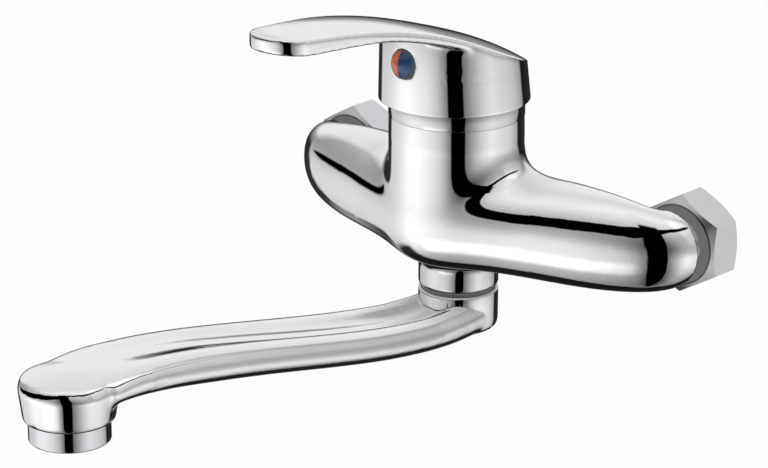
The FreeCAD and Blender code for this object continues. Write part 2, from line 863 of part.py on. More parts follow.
def underside_edge():
    """Side view of the lever's underside."""
    rear = cap_diameter / 2
    tip = lever_tip_height + lever_underside_rise - lever_tip_thickness
    points = [V(0, 0, roof_middle - lever_root_thickness),
              V(0, -rear, roof_front - lever_root_thickness),
              V(0, -lever_arch, lever_arch_height - lever_arch_thickness),
              V(0, -lever_dip, lever_dip_height - lever_dip_thickness),
              V(0, -lever_reach - overrun, tip)]
    return smooth_edge(points)


def above_underside(high):
    """Everything between the lever's underside and a height, across the whole width."""
    edge = underside_edge()
    first = edge.valueAt(edge.FirstParameter)
    last = edge.valueAt(edge.LastParameter)
    walls = run([last, V(0, last.y, high), V(0, first.y, high), first])
    face = Part.Face(Part.Wire([edge] + walls))
    face.translate(V(-cap_diameter, 0, 0))
    return face.extrude(V(2 * cap_diameter, 0, 0))


def lever_plan():
    """Plan of the lever and of the cap at the lever's shoulder, drawn at height zero."""
    radius = cap_radius(lever_shoulder_height)
    middle = cap_middle(lever_shoulder_height)
    angle = math.radians(lever_shoulder)
    shoulder_x = radius * math.cos(angle)
    shoulder_y = middle - radius * math.sin(angle)
    tip_half = lever_tip_width / 2
    tip_start = -lever_reach + tip_half * lever_tip_fullness
    edges = []
    for side in (1, -1):
        points = [V(side * shoulder_x, shoulder_y, 0),
                  V(side * lever_root_width / 2, -lever_root, 0),
                  V(side * lever_mid_width / 2, -lever_arch, 0), V(side * tip_half, tip_start, 0)]
        edges.append(smooth_edge(points, V(-side * math.sin(angle), -math.cos(angle), 0),
                                 V(-side * lever_end_taper, -1, 0)))
    edges.append(Part.Arc(V(tip_half, tip_start, 0), V(0, -lever_reach, 0),
                          V(-tip_half, tip_start, 0)).toShape())
    edges.append(Part.Arc(V(shoulder_x, shoulder_y, 0), V(0, middle + radius, 0),
                          V(-shoulder_x, shoulder_y, 0)).toShape())
    return Part.Face(Part.Wire(Part.sortEdges(edges)[0]))


def screw_axis():
    tilt = math.radians(screw_tilt)
    return V(0, math.cos(tilt), -math.sin(tilt))


def on_screw(inside):
    """The point on the grub screw's axis so many millimetres inside the cap's front."""
    return V(0, -cap_front, index_height) + screw_axis() * inside


def along_screw(radius, start, end):
    return Part.makeCylinder(radius, end - start, on_screw(start), screw_axis())


def screw_tip():
    """How far inside the cap the screw's tip meets the stem's front face."""
    tilt = math.radians(screw_tilt)
    edge = screw_diameter / 2 * math.sin(tilt)
    return (cap_front - stem_square / 2 - edge - seal_clearance) / math.cos(tilt)


def make_handle():
    high = lever_tip_height + lever_tip_thickness
    prism = lever_plan().extrude(V(0, 0, high))
    lever = prism.common(above_underside(high))
    handle = cap_cone(0, high).fuse(lever).common(below_roof(0)).removeSplitter()

    rim_wall = cap_diameter / 2 - cap_forward - collar_diameter / 2 - cap_rim_clearance
    inside = cap_cone(cap_wall, high).common(below_roof(cap_ceiling))
    inside = inside.fuse(cap_cone(rim_wall, cap_bottom + cap_rim_depth))
    half = stem_square / 2 + running
    boss_half = half + socket_wall
    reach = screw_tip()
    bosses = block(-boss_half, boss_half, -boss_half, boss_half, socket_bottom, high)
    bosses = bosses.fuse(along_screw(screw_diameter / 2 + screw_boss_wall, 1, reach))
    inside = inside.cut(bosses)
    handle = handle.cut(inside)

    socket_top = pivot_height + stem_height + slot_clearance
    holes = block(-half, half, -half, half, socket_bottom - 1, socket_top)
    holes = holes.fuse([along_screw(screw_diameter / 2 + running, 0, reach + 1),
                        along_screw(index_diameter / 2, -overrun, index_depth)])
    return handle.cut(holes)


def make_handle_screw():
    tip = screw_tip()
    start = tip - screw_length
    socket = hexagon_y(screw_socket, -1, screw_length / 3, 0, 0)
    socket.rotate(V(0, 0, 0), V(1, 0, 0), -screw_tilt)
    socket.translate(on_screw(start))
    return along_screw(screw_diameter / 2, start, tip).cut(socket)


# Temperature index: a plug with a red and a blue half under one dome

def index_dome():
    """The coloured insert: a short disc whose outer end is a shallow dome."""
    radius = index_diameter / 2 - easy
    seat = index_depth / 2
    rise = index_proud + index_edge
    ball = (radius ** 2 + rise ** 2) / (2 * rise)
    dome = Part.makeSphere(ball, on_screw(ball - index_proud))
    return along_screw(radius, -index_proud, seat).common(dome)


def make_index_half(side):
    gap = index_split / 2
    reach = cap_diameter
    x0 = gap if side > 0 else -reach
    x1 = reach if side > 0 else -gap
    return index_dome().common(block(x0, x1, -reach, reach, 0, index_height + reach))


def make_index_plug():
    return along_screw(index_diameter / 2 - easy, index_depth / 2, index_depth)


pieces = {
    "mixer_body": make_body,
    "inlet_tail_left": lambda: make_tail(-1),
    "inlet_tail_right": lambda: make_tail(1),
    "union_nut_left": lambda: make_union_nut(-1, nut_turn_left),
    "union_nut_right": lambda: make_union_nut(1, nut_turn_right),
    "inlet_washer_left": lambda: make_washer(-1),
    "inlet_washer_right": lambda: make_washer(1),
    "cartridge_base": make_base,
    "base_seals": make_base_seals,
    "fixed_disc": make_fixed_disc,
    "moving_disc": make_moving_disc,
    "disc_carrier": make_disc_carrier,
    "cartridge_housing": make_housing,
    "stem_guide": make_stem_guide,
    "stem_pin": make_stem_pin,
    "cartridge_stem": make_stem,
    "cartridge_nut": make_ring_nut,
    "collar_ring": make_collar_ring,
    "handle": make_handle,
    "handle_screw": make_handle_screw,
    "index_plug": make_index_plug,
    "index_red": lambda: make_index_half(-1),
    "index_blue": lambda: make_index_half(1),
    "glide_ring": make_glide_ring,
    "spout_o_rings": make_o_rings,
    "spout_body": make_spout,
    "spout_screw": make_keeper,
    "aerator_shell": make_aerator_shell,
    "aerator_insert": make_aerator_insert,
    "aerator_washer": make_aerator_washer,
}

os.makedirs("parts", exist_ok=True)
for name, make in pieces.items():
    save(name, make())
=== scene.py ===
import json
import math

import bpy
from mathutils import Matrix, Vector


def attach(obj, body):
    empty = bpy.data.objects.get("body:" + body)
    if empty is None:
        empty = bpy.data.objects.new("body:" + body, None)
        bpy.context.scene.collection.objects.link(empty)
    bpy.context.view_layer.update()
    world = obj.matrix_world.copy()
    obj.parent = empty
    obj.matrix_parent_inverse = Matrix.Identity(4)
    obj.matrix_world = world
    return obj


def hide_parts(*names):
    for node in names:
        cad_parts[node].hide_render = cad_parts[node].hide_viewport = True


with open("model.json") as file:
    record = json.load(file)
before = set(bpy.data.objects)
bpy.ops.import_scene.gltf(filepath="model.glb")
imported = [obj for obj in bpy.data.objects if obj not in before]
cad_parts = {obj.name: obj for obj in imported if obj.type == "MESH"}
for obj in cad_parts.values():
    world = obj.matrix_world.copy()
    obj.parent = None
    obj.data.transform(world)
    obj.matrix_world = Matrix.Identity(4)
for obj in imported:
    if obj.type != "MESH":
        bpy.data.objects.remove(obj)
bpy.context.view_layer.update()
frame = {"nodes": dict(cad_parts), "record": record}
nodes = frame["nodes"]
scene = bpy.context.scene
scene.view_settings.view_transform = "Standard"
print("frame loaded")


# Short ways to add shader nodes

def addNode(tree, kind, **settings):
    node = tree.nodes.new(kind)
    for key, value in settings.items():
        setattr(node, key, value)
    return node


def plug(tree, value, socket):
    if isinstance(value, bpy.types.NodeSocket):
        tree.links.new(value, socket)
    else:
        socket.default_value = value


def maths(tree, operation, first, second=0.0):
    node = addNode(tree, "ShaderNodeMath", operation=operation)
    plug(tree, first, node.inputs[0])
    plug(tree, second, node.inputs[1])
    return node.outputs[0]


def ease(tree, value, low, high):
    # 0 below low, 1 above high, smooth between them
    node = addNode(tree, "ShaderNodeMapRange", interpolation_type="SMOOTHSTEP")
    plug(tree, value, node.inputs["Value"])
    plug(tree, low, node.inputs["From Min"])
    plug(tree, high, node.inputs["From Max"])
    return node.outputs["Result"]


def window(tree, value, low, high, soft):
    # 1 between low and high, 0 outside them
    rise = ease(tree, value, low - soft, low + soft)
    fall = ease(tree, value, high - soft, high + soft)
    return maths(tree, "SUBTRACT", rise, fall)


def curveOver(tree, value, stops):
    # a number that follows stops (place, number) over the value, smooth between them
    places, numbers = zip(*stops)
    span, low, rise = places[-1] - places[0], min(numbers), max(numbers) - min(numbers)
    ramp = addNode(tree, "ShaderNodeValToRGB")
    ramp.color_ramp.interpolation = "B_SPLINE"
    marks = ramp.color_ramp.elements
    while len(marks) < len(stops):
        marks.new(0.5)
    for order, place in enumerate(places):
        marks[order].position = (place - places[0]) / span
    for order, number in enumerate(numbers):
        level = (number - low) / rise
        marks[order].color = (level, level, level, 1)
    share = maths(tree, "DIVIDE", maths(tree, "SUBTRACT", value, places[0]), span)
    plug(tree, share, ramp.inputs["Fac"])
    grey = addNode(tree, "ShaderNodeRGBToBW")
    plug(tree, ramp.outputs["Color"], grey.inputs[0])
    return maths(tree, "ADD", maths(tree, "MULTIPLY", grey.outputs[0], rise), low)


def sector(tree, bearing, height, sheet):
    # 1 within a sheet's bearings and heights, fading out beyond them
    turned = maths(tree, "WRAP", maths(tree, "SUBTRACT", bearing, sheet["middle"]), 180)
    turned.node.inputs[2].default_value = -180
    near = maths(tree, "SUBTRACT", 1, ease(tree, maths(tree, "ABSOLUTE", turned), *sheet["half"]))
    return maths(tree, "MULTIPLY", near, window(tree, height, *sheet["heights"], sheet["soft"]))


def tiltFrom(tree, direction, bearing, height):
    # angle in degrees between the direction and a fixed one
    around, up = math.radians(bearing), math.radians(height)
    fixed = (math.sin(around) * math.cos(up), -math.cos(around) * math.cos(up), math.sin(up))
    dot = addNode(tree, "ShaderNodeVectorMath", operation="DOT_PRODUCT")
    plug(tree, direction, dot.inputs[0])
    plug(tree, fixed, dot.inputs[1])
    return maths(tree, "DEGREES", maths(tree, "ARCCOSINE", dot.outputs["Value"]))


def background(tree, strength):
    node = addNode(tree, "ShaderNodeBackground")
    node.inputs["Color"].default_value = (1, 1, 1, 1)
    plug(tree, strength, node.inputs["Strength"])
    return node.outputs[0]


def mixShaders(tree, share, first, second):
    node = addNode(tree, "ShaderNodeMixShader")
    for value, socket in zip((share, first, second), node.inputs):
        plug(tree, value, socket)
    return node.outputs[0]


def mixColours(tree, share, first, second, blend="MIX"):
    node = addNode(tree, "ShaderNodeMix", data_type="RGBA", blend_type=blend)
    for value, place in ((share, 0), (first, 6), (second, 7)):
        plug(tree, value, node.inputs[place])
    return node.outputs[2]


# The studio: a white tent with a black flag round the front, a gap for the lens and
# black cards beside the backdrop. Bearings are in degrees from -Y, + to the right, and
# heights in degrees above the horizon.
studio = {
    "tentByBearing": [(-180, 0.50), (-150, 0.60), (-118, 0.62), (-95, 0.61), (-77, 0.67), (-62, 0.78),
                      (-48, 0.98), (-30, 1.0), (-15, 0.88), (0, 0.77), (10, 0.65), (20, 0.49),
                      (31, 0.16), (57, 0.15), (66, 0.32), (75, 0.47), (85, 0.64), (100, 0.88),
                      (125, 0.84), (145, 0.70), (160, 0.45), (170, 0.32), (180, 0.30)],
    "tentByHeight": [(-90, 0.20), (-75, 0.27), (-66, 0.38), (-50, 0.62), (-36, 0.97), (-24, 1.16),
                     (-17, 1.12), (-11, 0.80), (-6, 0.62), (3, 0.48), (27, 0.54), (37, 0.65),
                     (50, 0.84), (70, 1.02), (90, 1.08)],
    "topHeights": (0, 40),
    "topShare": 0.85,
    "topLevel": 0.86,
    "panel": {"middle": -140, "half": (30, 60), "heights": (3, 64), "soft": 7},
    "panelByHeight": [(0, 0.84), (14, 0.85), (22, 0.84), (30, 0.80), (45, 0.72), (70, 0.72)],
    "stretches": [
        {"middle": 138, "half": (18, 36), "heights": (8, 62), "soft": 8, "gain": 0.42},
        {"middle": 138, "half": (18, 36), "heights": (-32, -6), "soft": 6, "gain": -0.10},
        {"middle": 2, "half": (14, 30), "heights": (-46, -27), "soft": 5, "gain": 0.60},
    ],
    "flagMiddle": [(-180, -8), (-100, -8), (-80, -8.5), (-60, -2), (-40, 6), (-20, 11), (0, 15),
                   (18, 23), (30, 26), (60, 44), (90, 48), (120, 46), (150, 38), (165, 30),
                   (180, 20)],
    "flagHalf": [(-180, -4), (-98, -2), (-90, 3), (-80, 3), (-60, 6), (-40, 10), (-20, 12),
                 (0, 11.5), (18, 10.5), (30, 16), (60, 4), (90, 4), (150, 3), (166, -2), (180, -4)],
    "flagEdge": (-1, 1.5),
    "lens": {"bearings": (32, 56), "soft": 1.2, "top": (48, 56)},
    "besideCard": {"middle": -148, "half": (43, 49), "heights": (-34, -3), "soft": 6},
    "belowCard": {"middle": -125, "half": (62, 82), "heights": (-85, -35), "soft": 4},
    "backdrop": {"bearing": -138, "height": -19, "edge": (3, 7)},
    "cardDark": 0.96,
    "tentLevel": 1.032,
    "washLevel": 0.75,
    "backdropLevel": 1.0,
}


def buildStudio():
    world = bpy.data.worlds.new("studio")
    world.use_nodes = True
    tree = world.node_tree
    tree.nodes.clear()
    direction = addNode(tree, "ShaderNodeTexCoord").outputs["Generated"]
    split = addNode(tree, "ShaderNodeSeparateXYZ")
    plug(tree, direction, split.inputs[0])
    x, y, z = split.outputs
    bearing = maths(tree, "DEGREES", maths(tree, "ARCTAN2", x, maths(tree, "MULTIPLY", y, -1)))
    height = maths(tree, "DEGREES", maths(tree, "ARCSINE", z))

    # the tent's own brightness, evened out above the object
    around = curveOver(tree, bearing, studio["tentByBearing"])
    upright = curveOver(tree, height, studio["tentByHeight"])
    above = maths(tree, "MULTIPLY", ease(tree, height, *studio["topHeights"]), studio["topShare"])
    kept = maths(tree, "MULTIPLY", around, maths(tree, "SUBTRACT", 1, above))
    even = maths(tree, "MULTIPLY", above, studio["topLevel"])
    tent = maths(tree, "MULTIPLY", maths(tree, "ADD", kept, even), upright)

    # a bright panel behind and above the tap
    panel = sector(tree, bearing, height, studio["panel"])
    glow = curveOver(tree, height, studio["panelByHeight"])
    tent = maths(tree, "MAXIMUM", tent, maths(tree, "MULTIPLY", panel, glow))

    # brighter above and darker below on the right, and brighter low in front
    for stretch in studio["stretches"]:
        change = maths(tree, "MULTIPLY", sector(tree, bearing, height, stretch), stretch["gain"])
        tent = maths(tree, "MULTIPLY", tent, maths(tree, "ADD", change, 1))

    # the flag that runs round the front
    middle = curveOver(tree, bearing, studio["flagMiddle"])
    half = curveOver(tree, bearing, studio["flagHalf"])
    away = maths(tree, "ABSOLUTE", maths(tree, "SUBTRACT", height, middle))
    beyond = maths(tree, "SUBTRACT", away, half)
    flag = maths(tree, "SUBTRACT", 1, ease(tree, beyond, *studio["flagEdge"]))

    # the gap for the lens
    sheet = studio["lens"]
    under = maths(tree, "SUBTRACT", 1, ease(tree, height, *sheet["top"]))
    lens = maths(tree, "MULTIPLY", window(tree, bearing, *sheet["bearings"], sheet["soft"]), under)

    # cards beside and below the backdrop, with the backdrop left free in the middle
    beside = sector(tree, bearing, height, studio["besideCard"])
    below = sector(tree, bearing, height, studio["belowCard"])
    sheet = studio["backdrop"]
    free = ease(tree, tiltFrom(tree, direction, sheet["bearing"], sheet["height"]), *sheet["edge"])
    cards = maths(tree, "MULTIPLY", maths(tree, "MAXIMUM", beside, below), free)
    cards = maths(tree, "MULTIPLY", cards, studio["cardDark"])

    dark = maths(tree, "MAXIMUM", maths(tree, "MAXIMUM", flag, lens), cards)
    level = maths(tree, "MULTIPLY", tent, maths(tree, "SUBTRACT", 1, dark))
    level = maths(tree, "MULTIPLY", level, studio["tentLevel"])

    # metal and glass see the tent, the camera sees the white backdrop, all else an even wash
    path = addNode(tree, "ShaderNodeLightPath")
    shiny = maths(tree, "MAXIMUM", path.outputs["Is Glossy Ray"], path.outputs["Is Transmission Ray"])
    lit = mixShaders(tree, shiny, background(tree, studio["washLevel"]), background(tree, level))
    white = background(tree, studio["backdropLevel"])
    seen = mixShaders(tree, path.outputs["Is Camera Ray"], lit, white)
    plug(tree, seen, addNode(tree, "ShaderNodeOutputWorld").inputs["Surface"])
    scene.world = world


buildStudio()
print("studio built")


# Camera at the photograph's angle
camera = {"place": (0.74969, -0.90111, 0.39097), "turn": (70.77, 0, 42.32), "lens": 164.06,
          "sensor": 36, "nearest": 0.01}
bpy.ops.object.camera_add(location=camera["place"],
                          rotation=[math.radians(angle) for angle in camera["turn"]])
scene.camera = bpy.context.object
scene.camera.data.lens = camera["lens"]
scene.camera.data.sensor_width = camera["sensor"]
scene.camera.data.clip_start = camera["nearest"]

# Soft lamps for the shadow and for what isn't metal
lamps = [
    {"place": (-0.9, -1.0, 1.6), "size": 1.4, "power": 9},
    {"place": (1.4, 0.3, 1.2), "size": 1.0, "power": 4},
]
for lamp in lamps:
    bpy.ops.object.light_add(type="AREA", location=lamp["place"])
    light = bpy.context.object
    light.rotation_euler = (-Vector(lamp["place"])).to_track_quat("-Z", "Y").to_euler()
    light.data.size = lamp["size"]
    light.data.energy = lamp["power"]
    light.visible_glossy = False
    light.visible_camera = False
print("camera and lamps placed")


# Materials

def startMaterial(name):
    material = bpy.data.materials.new(name)
    material.use_nodes = True
    tree = material.node_tree
    shader = tree.nodes["Principled BSDF"]
    place = addNode(tree, "ShaderNodeTexCoord").outputs["Object"]
    return material, tree, shader, place


def noise(tree, place, scale, detail=2):
    node = addNode(tree, "ShaderNodeTexNoise")
    plug(tree, place, node.inputs["Vector"])
    node.inputs["Scale"].default_value = scale
    node.inputs["Detail"].default_value = detail
    return node.outputs[0]


# nearly all values of a noise lie within its spread
grains = {"spread": (0.3, 0.7), "colourDetail": 3, "roughDetail": 4, "roughFiner": 2.3}


def between(tree, value, low, high, spread=grains["spread"]):
    # low where the value is at the start of its spread or below, high at the end or above
    node = addNode(tree, "ShaderNodeMapRange")
    plug(tree, value, node.inputs["Value"])
    for name, number in zip(("From Min", "From Max", "To Min", "To Max"), (*spread, low, high)):
        node.inputs[name].default_value = number
    return node.outputs["Result"]


def colourBetween(tree, value, first, second):
    ramp = addNode(tree, "ShaderNodeValToRGB")
    for mark, colour, place in zip(ramp.color_ramp.elements, (first, second), grains["spread"]):
        mark.color = (*colour, 1)
        mark.position = place
    plug(tree, value, ramp.inputs["Fac"])
    return ramp.outputs["Color"]


def bump(tree, shader, height, depth):
    node = addNode(tree, "ShaderNodeBump")
    node.inputs["Distance"].default_value = depth
    plug(tree, height, node.inputs["Height"])
    plug(tree, node.outputs[0], shader.inputs["Normal"])


finishes = {
    "polishedChrome": {"metal": 1.0, "light": (0.94, 0.94, 0.95), "dark": (0.91, 0.91, 0.925),
                       "rough": (0.012, 0.03), "grain": 60, "wave": 18, "depth": 0.00001,
                       # painted shade: ambient occlusion darkens the base colour near neighbouring
                       # pieces
                       "paintedShade": {"reach": 0.03, "samples": 12, "darkest": 0.42, "open": (0.3, 0.95)}},
    "softChrome": {"metal": 1.0, "light": (0.74, 0.75, 0.765), "dark": (0.71, 0.72, 0.74),
                   "rough": (0.05, 0.08), "grain": 90, "wave": 60, "depth": 0.00001},
    # a duller chrome whose dark base colour is partly painted shade, for the tails that sit between
    # nut and arm end
    "dullShadedChrome": {"metal": 1.0, "light": (0.46, 0.46, 0.47), "dark": (0.40, 0.40, 0.41),
                   "rough": (0.10, 0.14), "grain": 200, "wave": 600, "depth": 0.000004},
    "nutChrome": {"metal": 1.0, "light": (0.84, 0.845, 0.87), "dark": (0.82, 0.825, 0.85),
                  "rough": (0.26, 0.30), "grain": 120, "wave": 400, "depth": 0.000002,
                  # painted reflection: the front face colour is darker, standing for the arm end it
                  # mirrors
                  "faceAt": (-0.0136, -0.0134), "face": (0.15, 0.15, 0.155)},
    "turnedBrass": {"metal": 1.0, "light": (0.80, 0.62, 0.33), "dark": (0.68, 0.50, 0.24),
                    "rough": (0.22, 0.36), "grain": 300, "wave": 1800, "depth": 0.00001},
    "stainlessSteel": {"metal": 1.0, "light": (0.64, 0.64, 0.65), "dark": (0.52, 0.52, 0.53),
                       "rough": (0.20, 0.34), "grain": 500, "wave": 2600, "depth": 0.000006},
    "whitePlastic": {"metal": 0.0, "light": (0.86, 0.86, 0.83), "dark": (0.80, 0.80, 0.77),
                     "rough": (0.38, 0.52), "grain": 260, "wave": 3200, "depth": 0.000008},
    "greyPlastic": {"metal": 0.0, "light": (0.76, 0.77, 0.79), "dark": (0.70, 0.71, 0.73),
                    "rough": (0.34, 0.46), "grain": 260, "wave": 3200, "depth": 0.000006},
    "blackPlastic": {"metal": 0.0, "light": (0.13, 0.13, 0.14), "dark": (0.10, 0.10, 0.11),
                     "rough": (0.30, 0.42), "grain": 300, "wave": 3000, "depth": 0.000006},
    "redEnamel": {"metal": 0.0, "light": (0.80, 0.17, 0.07), "dark": (0.74, 0.13, 0.05),
                  "rough": (0.05, 0.08), "grain": 200, "wave": 400, "depth": 0.000002},
    "blueEnamel": {"metal": 0.0, "light": (0.04, 0.09, 0.21), "dark": (0.03, 0.065, 0.16),
                   "rough": (0.04, 0.07), "grain": 200, "wave": 400, "depth": 0.000002},
    "lappedCeramic": {"metal": 0.0, "light": (0.92, 0.90, 0.86), "dark": (0.88, 0.86, 0.82),
                      "rough": (0.12, 0.2), "grain": 500, "wave": 4000, "depth": 0.000002},
    "blackRubber": {"metal": 0.0, "light": (0.055, 0.055, 0.055), "dark": (0.035, 0.035, 0.035),
                    "rough": (0.6, 0.8), "grain": 700, "wave": 3500, "depth": 0.00001},
}


def makeFinish(name):
    sheet = finishes[name]
    material, tree, shader, place = startMaterial(name)
    grain = noise(tree, place, sheet["grain"], grains["colourDetail"])
    colour = colourBetween(tree, grain, sheet["dark"], sheet["light"])
    if "face" in sheet:
        # painted reflection: the nut's front face is coloured dark, standing in for the dark back of
        # the arm end that it would mirror
        split = addNode(tree, "ShaderNodeSeparateXYZ")
        plug(tree, place, split.inputs[0])
        behind = ease(tree, split.outputs["Y"], *sheet["faceAt"])
        colour = mixColours(tree, behind, (*sheet["face"], 1), colour)
    if "paintedShade" in sheet:
        # painted shade: the chrome's base colour is darkened by ambient occlusion where a neighbour
        # stands close over it
        paintedShade = sheet["paintedShade"]
        node = addNode(tree, "ShaderNodeAmbientOcclusion", samples=paintedShade["samples"])
        node.inputs["Distance"].default_value = paintedShade["reach"]
        clear = between(tree, node.outputs["AO"], paintedShade["darkest"], 1.0, paintedShade["open"])
        colour = mixColours(tree, 1.0, colour, clear, "MULTIPLY")
    plug(tree, colour, shader.inputs["Base Color"])
    grain = noise(tree, place, sheet["grain"] * grains["roughFiner"], grains["roughDetail"])
    plug(tree, between(tree, grain, *sheet["rough"]), shader.inputs["Roughness"])
    shader.inputs["Metallic"].default_value = sheet["metal"]
    bump(tree, shader, noise(tree, place, sheet["wave"]), sheet["depth"])
    return material


finish = {name: makeFinish(name) for name in finishes}

finishOfSlot = {
    "chrome_casting": "polishedChrome", "satin_chrome": "softChrome", "plain_brass": "turnedBrass",
    "stainless_steel": "stainlessSteel", "cartridge_plastic": "whitePlastic",
    "insert_plastic": "greyPlastic", "plug_plastic": "blackPlastic", "index_red": "redEnamel",
    "index_blue": "blueEnamel", "disc_ceramic": "lappedCeramic", "seal_rubber": "blackRubber",
}
finishOfNode = {
    # the inlet tails take the darker chrome, partly a duller finish and partly painted shade
    "inlet_tail_left": "dullShadedChrome", "inlet_tail_right": "dullShadedChrome",
    "union_nut_left": "nutChrome", "union_nut_right": "nutChrome",
}
slotOfNode = {part["node"]: part["material_slot"] for part in frame["record"]["subparts"]}
for name, node in nodes.items():
    coat = finishOfNode.get(name, finishOfSlot[slotOfNode[name]])
    node.data.materials.clear()
    node.data.materials.append(finish[coat])
    node.visible_glossy = False      # the chrome shows the studio, not its neighbours
print("finishes made")


# Castings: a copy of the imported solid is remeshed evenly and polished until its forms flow
# into each other as on the real one, and then stands for the node.
castings = {
    "tapBody": {"node": "mixer_body", "body": "fixed_body", "cell": 0.00078, "polish": 6},
    "leverCasting": {"node": "handle", "body": "lever", "cell": 0.00037, "polish": 7},
    "spoutCasting": {"node": "spout_body", "body": "spout", "cell": 0.0005, "polish": 8},
}
meshing = {"weld": 0.000002, "mostTriangles": 190000}

# where the upright axes stand, along y
axes = {"column": -0.041, "swivel": -0.0395, "outlet": -0.2227}

# Round stretches, which are turned true again. Middle and radius are those at the height "at",
# and change by lean and taper per metre above it.
stretches = {
    "column": {"from": 0.030, "to": 0.0378, "at": 0.0375, "middle": axes["column"],
               "radius": 0.0232, "taper": -0.018, "near": 0.0013},
    "neck": {"from": -0.0235, "to": -0.020, "middle": axes["swivel"], "radius": 0.0139, "fade": 0.001},
    "cap": {"from": 0.0434, "to": 0.0535, "at": 0.0429, "middle": -0.0422, "lean": -0.06,
            "radius": 0.026, "taper": -0.06},
    "cup": {"from": -0.0195, "to": -0.0066, "at": -0.0205, "middle": axes["outlet"],
            "radius": 0.0145, "taper": 0.1277, "near": 0.0009, "fade": 0.0006,
            "frontOf": axes["outlet"] + 0.004},
    "collar": {"from": -0.0305, "to": -0.0268, "middle": axes["swivel"], "radius": 0.0139},
}
usualStretch = {"at": 0, "lean": 0, "taper": 0, "near": 0.0006, "fade": 0.002, "frontOf": 1.0,
                "frontFade": 0.005}


def selectOnly(piece):
    bpy.ops.object.select_all(action="DESELECT")
    piece.select_set(True)
    bpy.context.view_layer.objects.active = piece


def applyModifier(piece, kind, **settings):
    selectOnly(piece)
    modifier = piece.modifiers.new(kind.title(), kind)
    for key, value in settings.items():
        setattr(modifier, key, value)
    bpy.ops.object.modifier_apply(modifier=modifier.name)


def smooth(piece, rounds, group=""):
    applyModifier(piece, "SMOOTH", factor=0.5, iterations=rounds, vertex_group=group)


def clip(number):
    return max(0, min(1, number))


def nearTo(value, edge):
    # the edge's weight where the value is at it, and less on both sides
    return edge["weight"] - abs(value - edge["at"]) / edge["half"]


def markPlaces(piece, name, weightAt):
    # a vertex group whose weight follows the place of each point
    group = piece.vertex_groups.new(name=name)
    for point in piece.data.vertices:
        weight = weightAt(*point.co)
        if weight > 0:
            group.add([point.index], min(weight, 1), "REPLACE")


def startCasting(name):
    sheet = castings[name]
    piece = bpy.data.objects.new(name, nodes[sheet["node"]].data.copy())
    scene.collection.objects.link(piece)
    selectOnly(piece)
    bpy.ops.object.mode_set(mode="EDIT")
    bpy.ops.mesh.select_all(action="SELECT")
    bpy.ops.mesh.remove_doubles(threshold=meshing["weld"])
    bpy.ops.mesh.customdata_custom_splitnormals_clear()
    bpy.ops.object.mode_set(mode="OBJECT")
    applyModifier(piece, "REMESH", mode="VOXEL", voxel_size=sheet["cell"])
    print(name, "evened out,", len(piece.data.vertices), "points")
    smooth(piece, sheet["polish"])
    return piece


def thinOut(piece):
    # keeps a piece under the limit of triangles, with the shading of the denser one
    count = sum(len(face.vertices) - 2 for face in piece.data.polygons)
    if count < meshing["mostTriangles"]:
        return
    dense = bpy.data.objects.new("dense", piece.data.copy())
    scene.collection.objects.link(dense)
    selectOnly(dense)
    bpy.ops.object.shade_smooth()
    applyModifier(piece, "DECIMATE", ratio=meshing["mostTriangles"] / count)
    selectOnly(piece)
    bpy.ops.object.shade_smooth()
    applyModifier(piece, "DATA_TRANSFER", object=dense, use_loop_data=True,
                  data_types_loops={"CUSTOM_NORMAL"}, loop_mapping="POLYINTERP_NEAREST")
    bpy.data.objects.remove(dense, do_unlink=True)


def turnTrue(piece, name):
    # brings a round stretch between two heights back to its exact radius, as on a lathe
    sheet = {**usualStretch, **stretches[name]}
    low, high, fade = sheet["from"], sheet["to"], sheet["fade"]
    for point in piece.data.vertices:
        x, y, z = point.co
        if z < low - fade or z > high + fade or y > sheet["frontOf"]:
            continue
        above = z - sheet["at"]
        middle = sheet["middle"] + sheet["lean"] * above
        radius = sheet["radius"] + sheet["taper"] * above
        reach = math.hypot(x, y - middle)
        if abs(reach - radius) > sheet["near"]:
            continue
        front = (sheet["frontOf"] - y) / sheet["frontFade"]
        share = min(1, (z - low + fade) / fade, (high + fade - z) / fade, front)
        scale = 1 + share * (radius / reach - 1)
        point.co.x = x * scale
        point.co.y = middle + (y - middle) * scale


def endCasting(piece, name):
    sheet = castings[name]
    thinOut(piece)
    selectOnly(piece)
    bpy.ops.object.shade_smooth()
    piece.data.materials.clear()
    piece.data.materials.append(finish["polishedChrome"])
    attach(piece, sheet["body"])
    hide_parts(sheet["node"])
    piece.visible_glossy = False
    print(name, "made,", len(piece.data.polygons), "faces")


# The body is softened where the column runs into the arms, and on the edges at the column's
# top, the neck's foot and the arm ends
bodyJoin = {"middle": {"at": 0.012, "half": 0.022, "weight": 1}, "columnHalf": 0.026, "fade": 0.014,
            "steep": 2, "armEnds": 0.05, "rounds": 160}
bodyRims = {"top": {"at": 0.0375, "half": 0.003, "weight": 0.5},
            "foot": {"at": -0.0251, "half": 0.0018, "weight": 1.2}, "neckHalf": 0.02,
            "armFace": {"at": -0.0172, "half": 0.002, "weight": 1}, "armEnds": 0.05, "rounds": 30}


def bodyJoinWeight(x, y, z):
    if y > 0 or abs(x) > bodyJoin["armEnds"]:
        return 0
    side = 1 - max(0, abs(x) - bodyJoin["columnHalf"]) / bodyJoin["fade"]
    return clip(bodyJoin["steep"] * min(nearTo(z, bodyJoin["middle"]), side))


def bodyRimWeight(x, y, z):
    top = nearTo(z, bodyRims["top"])
    foot = nearTo(z, bodyRims["foot"]) if abs(x) < bodyRims["neckHalf"] else 0
    armFace = nearTo(y, bodyRims["armFace"]) if abs(x) > bodyRims["armEnds"] else 0
    return max(top, foot, armFace)


